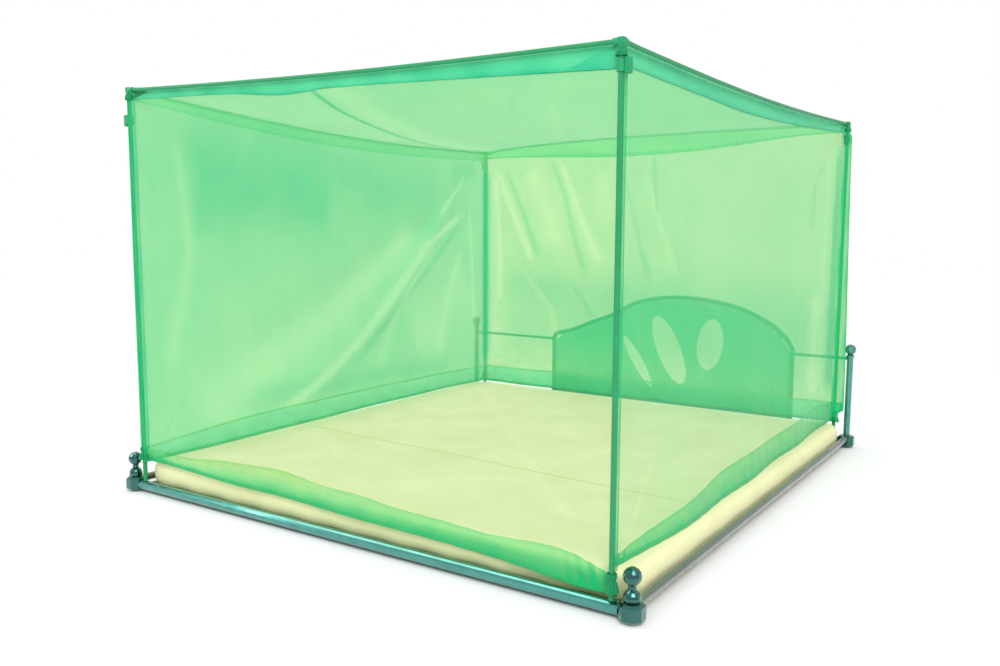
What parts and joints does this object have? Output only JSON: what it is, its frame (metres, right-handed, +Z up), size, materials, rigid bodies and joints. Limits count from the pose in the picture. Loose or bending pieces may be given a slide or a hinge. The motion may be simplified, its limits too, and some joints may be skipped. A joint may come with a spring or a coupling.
{
  "type": "box mosquito net canopy on a tube frame, on a low double bed with its mattress",
  "caption": "Sheer green box mosquito net with deeper border bands, tied inside a thin tube frame that stands on the rails of a low tubular bed with a sheeted mattress.",
  "frame": {"origin": "on the floor, under the middle of the bed", "axes": "+Z up, +Y along the bed towards its head, +X across it to the right seen from the foot"},
  "size_m": [1.905, 2.06, 1.3285],
  "materials": {
    "green_netting": "sheer knitted net, matt",
    "green_border_cloth": "denser woven cloth, matt",
    "green_tape": "woven tape",
    "green_frame_tube": "gloss painted steel tube",
    "green_plastic": "moulded plastic",
    "plated_bed_tube": "bright plated tube, seen through green net",
    "grey_side_rail": "plated, dulled",
    "painted_headboard": "satin paint",
    "plywood": "plain board",
    "pale_yellow_sheet": "drawn cotton sheet"
  },
  "bodies": {
    "root": {"bed_base": "plywood", "border_foot": "green_border_cloth", "border_head": "green_border_cloth", "border_left": "green_border_cloth", "border_right": "green_border_cloth", "canopy_post_foot_left": "green_frame_tube", "canopy_post_foot_right": "green_frame_tube", "canopy_post_head_left": "green_frame_tube", "canopy_post_head_right": "green_frame_tube", "corner_block_foot_left": "plated_bed_tube", "corner_block_foot_right": "plated_bed_tube", "corner_block_head_left": "plated_bed_tube", "corner_block_head_right": "plated_bed_tube", "corner_joint_foot_left": "green_plastic", "corner_joint_foot_right": "green_plastic", "corner_joint_head_left": "green_plastic", "corner_joint_head_right": "green_plastic", "corner_patch_foot_left": "green_border_cloth", "corner_patch_foot_right": "green_border_cloth", "corner_patch_head_left": "green_border_cloth", "corner_patch_head_right": "green_border_cloth", "finial_foot_left": "plated_bed_tube", "finial_foot_right": "plated_bed_tube", "foot_rail": "plated_bed_tube", "head_post_left": "plated_bed_tube", "head_post_right": "plated_bed_tube", "head_rail": "plated_bed_tube", "headboard_arch": "painted_headboard", "headboard_arm_left": "painted_headboard", "headboard_arm_right": "painted_headboard", "headboard_panel": "painted_headboard", "heading_band_foot": "green_border_cloth", "heading_band_head": "green_border_cloth", "heading_band_left": "green_border_cloth", "heading_band_right": "green_border_cloth", "mattress": "pale_yellow_sheet", "net_roof": "green_netting", "net_wall_foot": "green_netting", "net_wall_head": "green_netting", "net_wall_left": "green_netting", "net_wall_right": "green_netting", "post_clamp_foot_left": "green_plastic", "post_clamp_foot_right": "green_plastic", "post_clamp_head_left": "green_plastic", "post_clamp_head_right": "green_plastic", "side_rail_left": "grey_side_rail", "side_rail_right": "grey_side_rail", "tie_bottom_foot_left": "green_border_cloth", "tie_bottom_foot_right": "green_border_cloth", "tie_bottom_head_left": "green_border_cloth", "tie_bottom_head_right": "green_border_cloth", "tie_top_foot_left": "green_tape", "tie_top_foot_right": "green_tape", "tie_top_head_left": "green_tape", "tie_top_head_right": "green_tape", "top_rod_foot": "green_frame_tube", "top_rod_head": "green_frame_tube", "top_rod_left": "green_frame_tube", "top_rod_right": "green_frame_tube"}
  },
  "joints": []
}
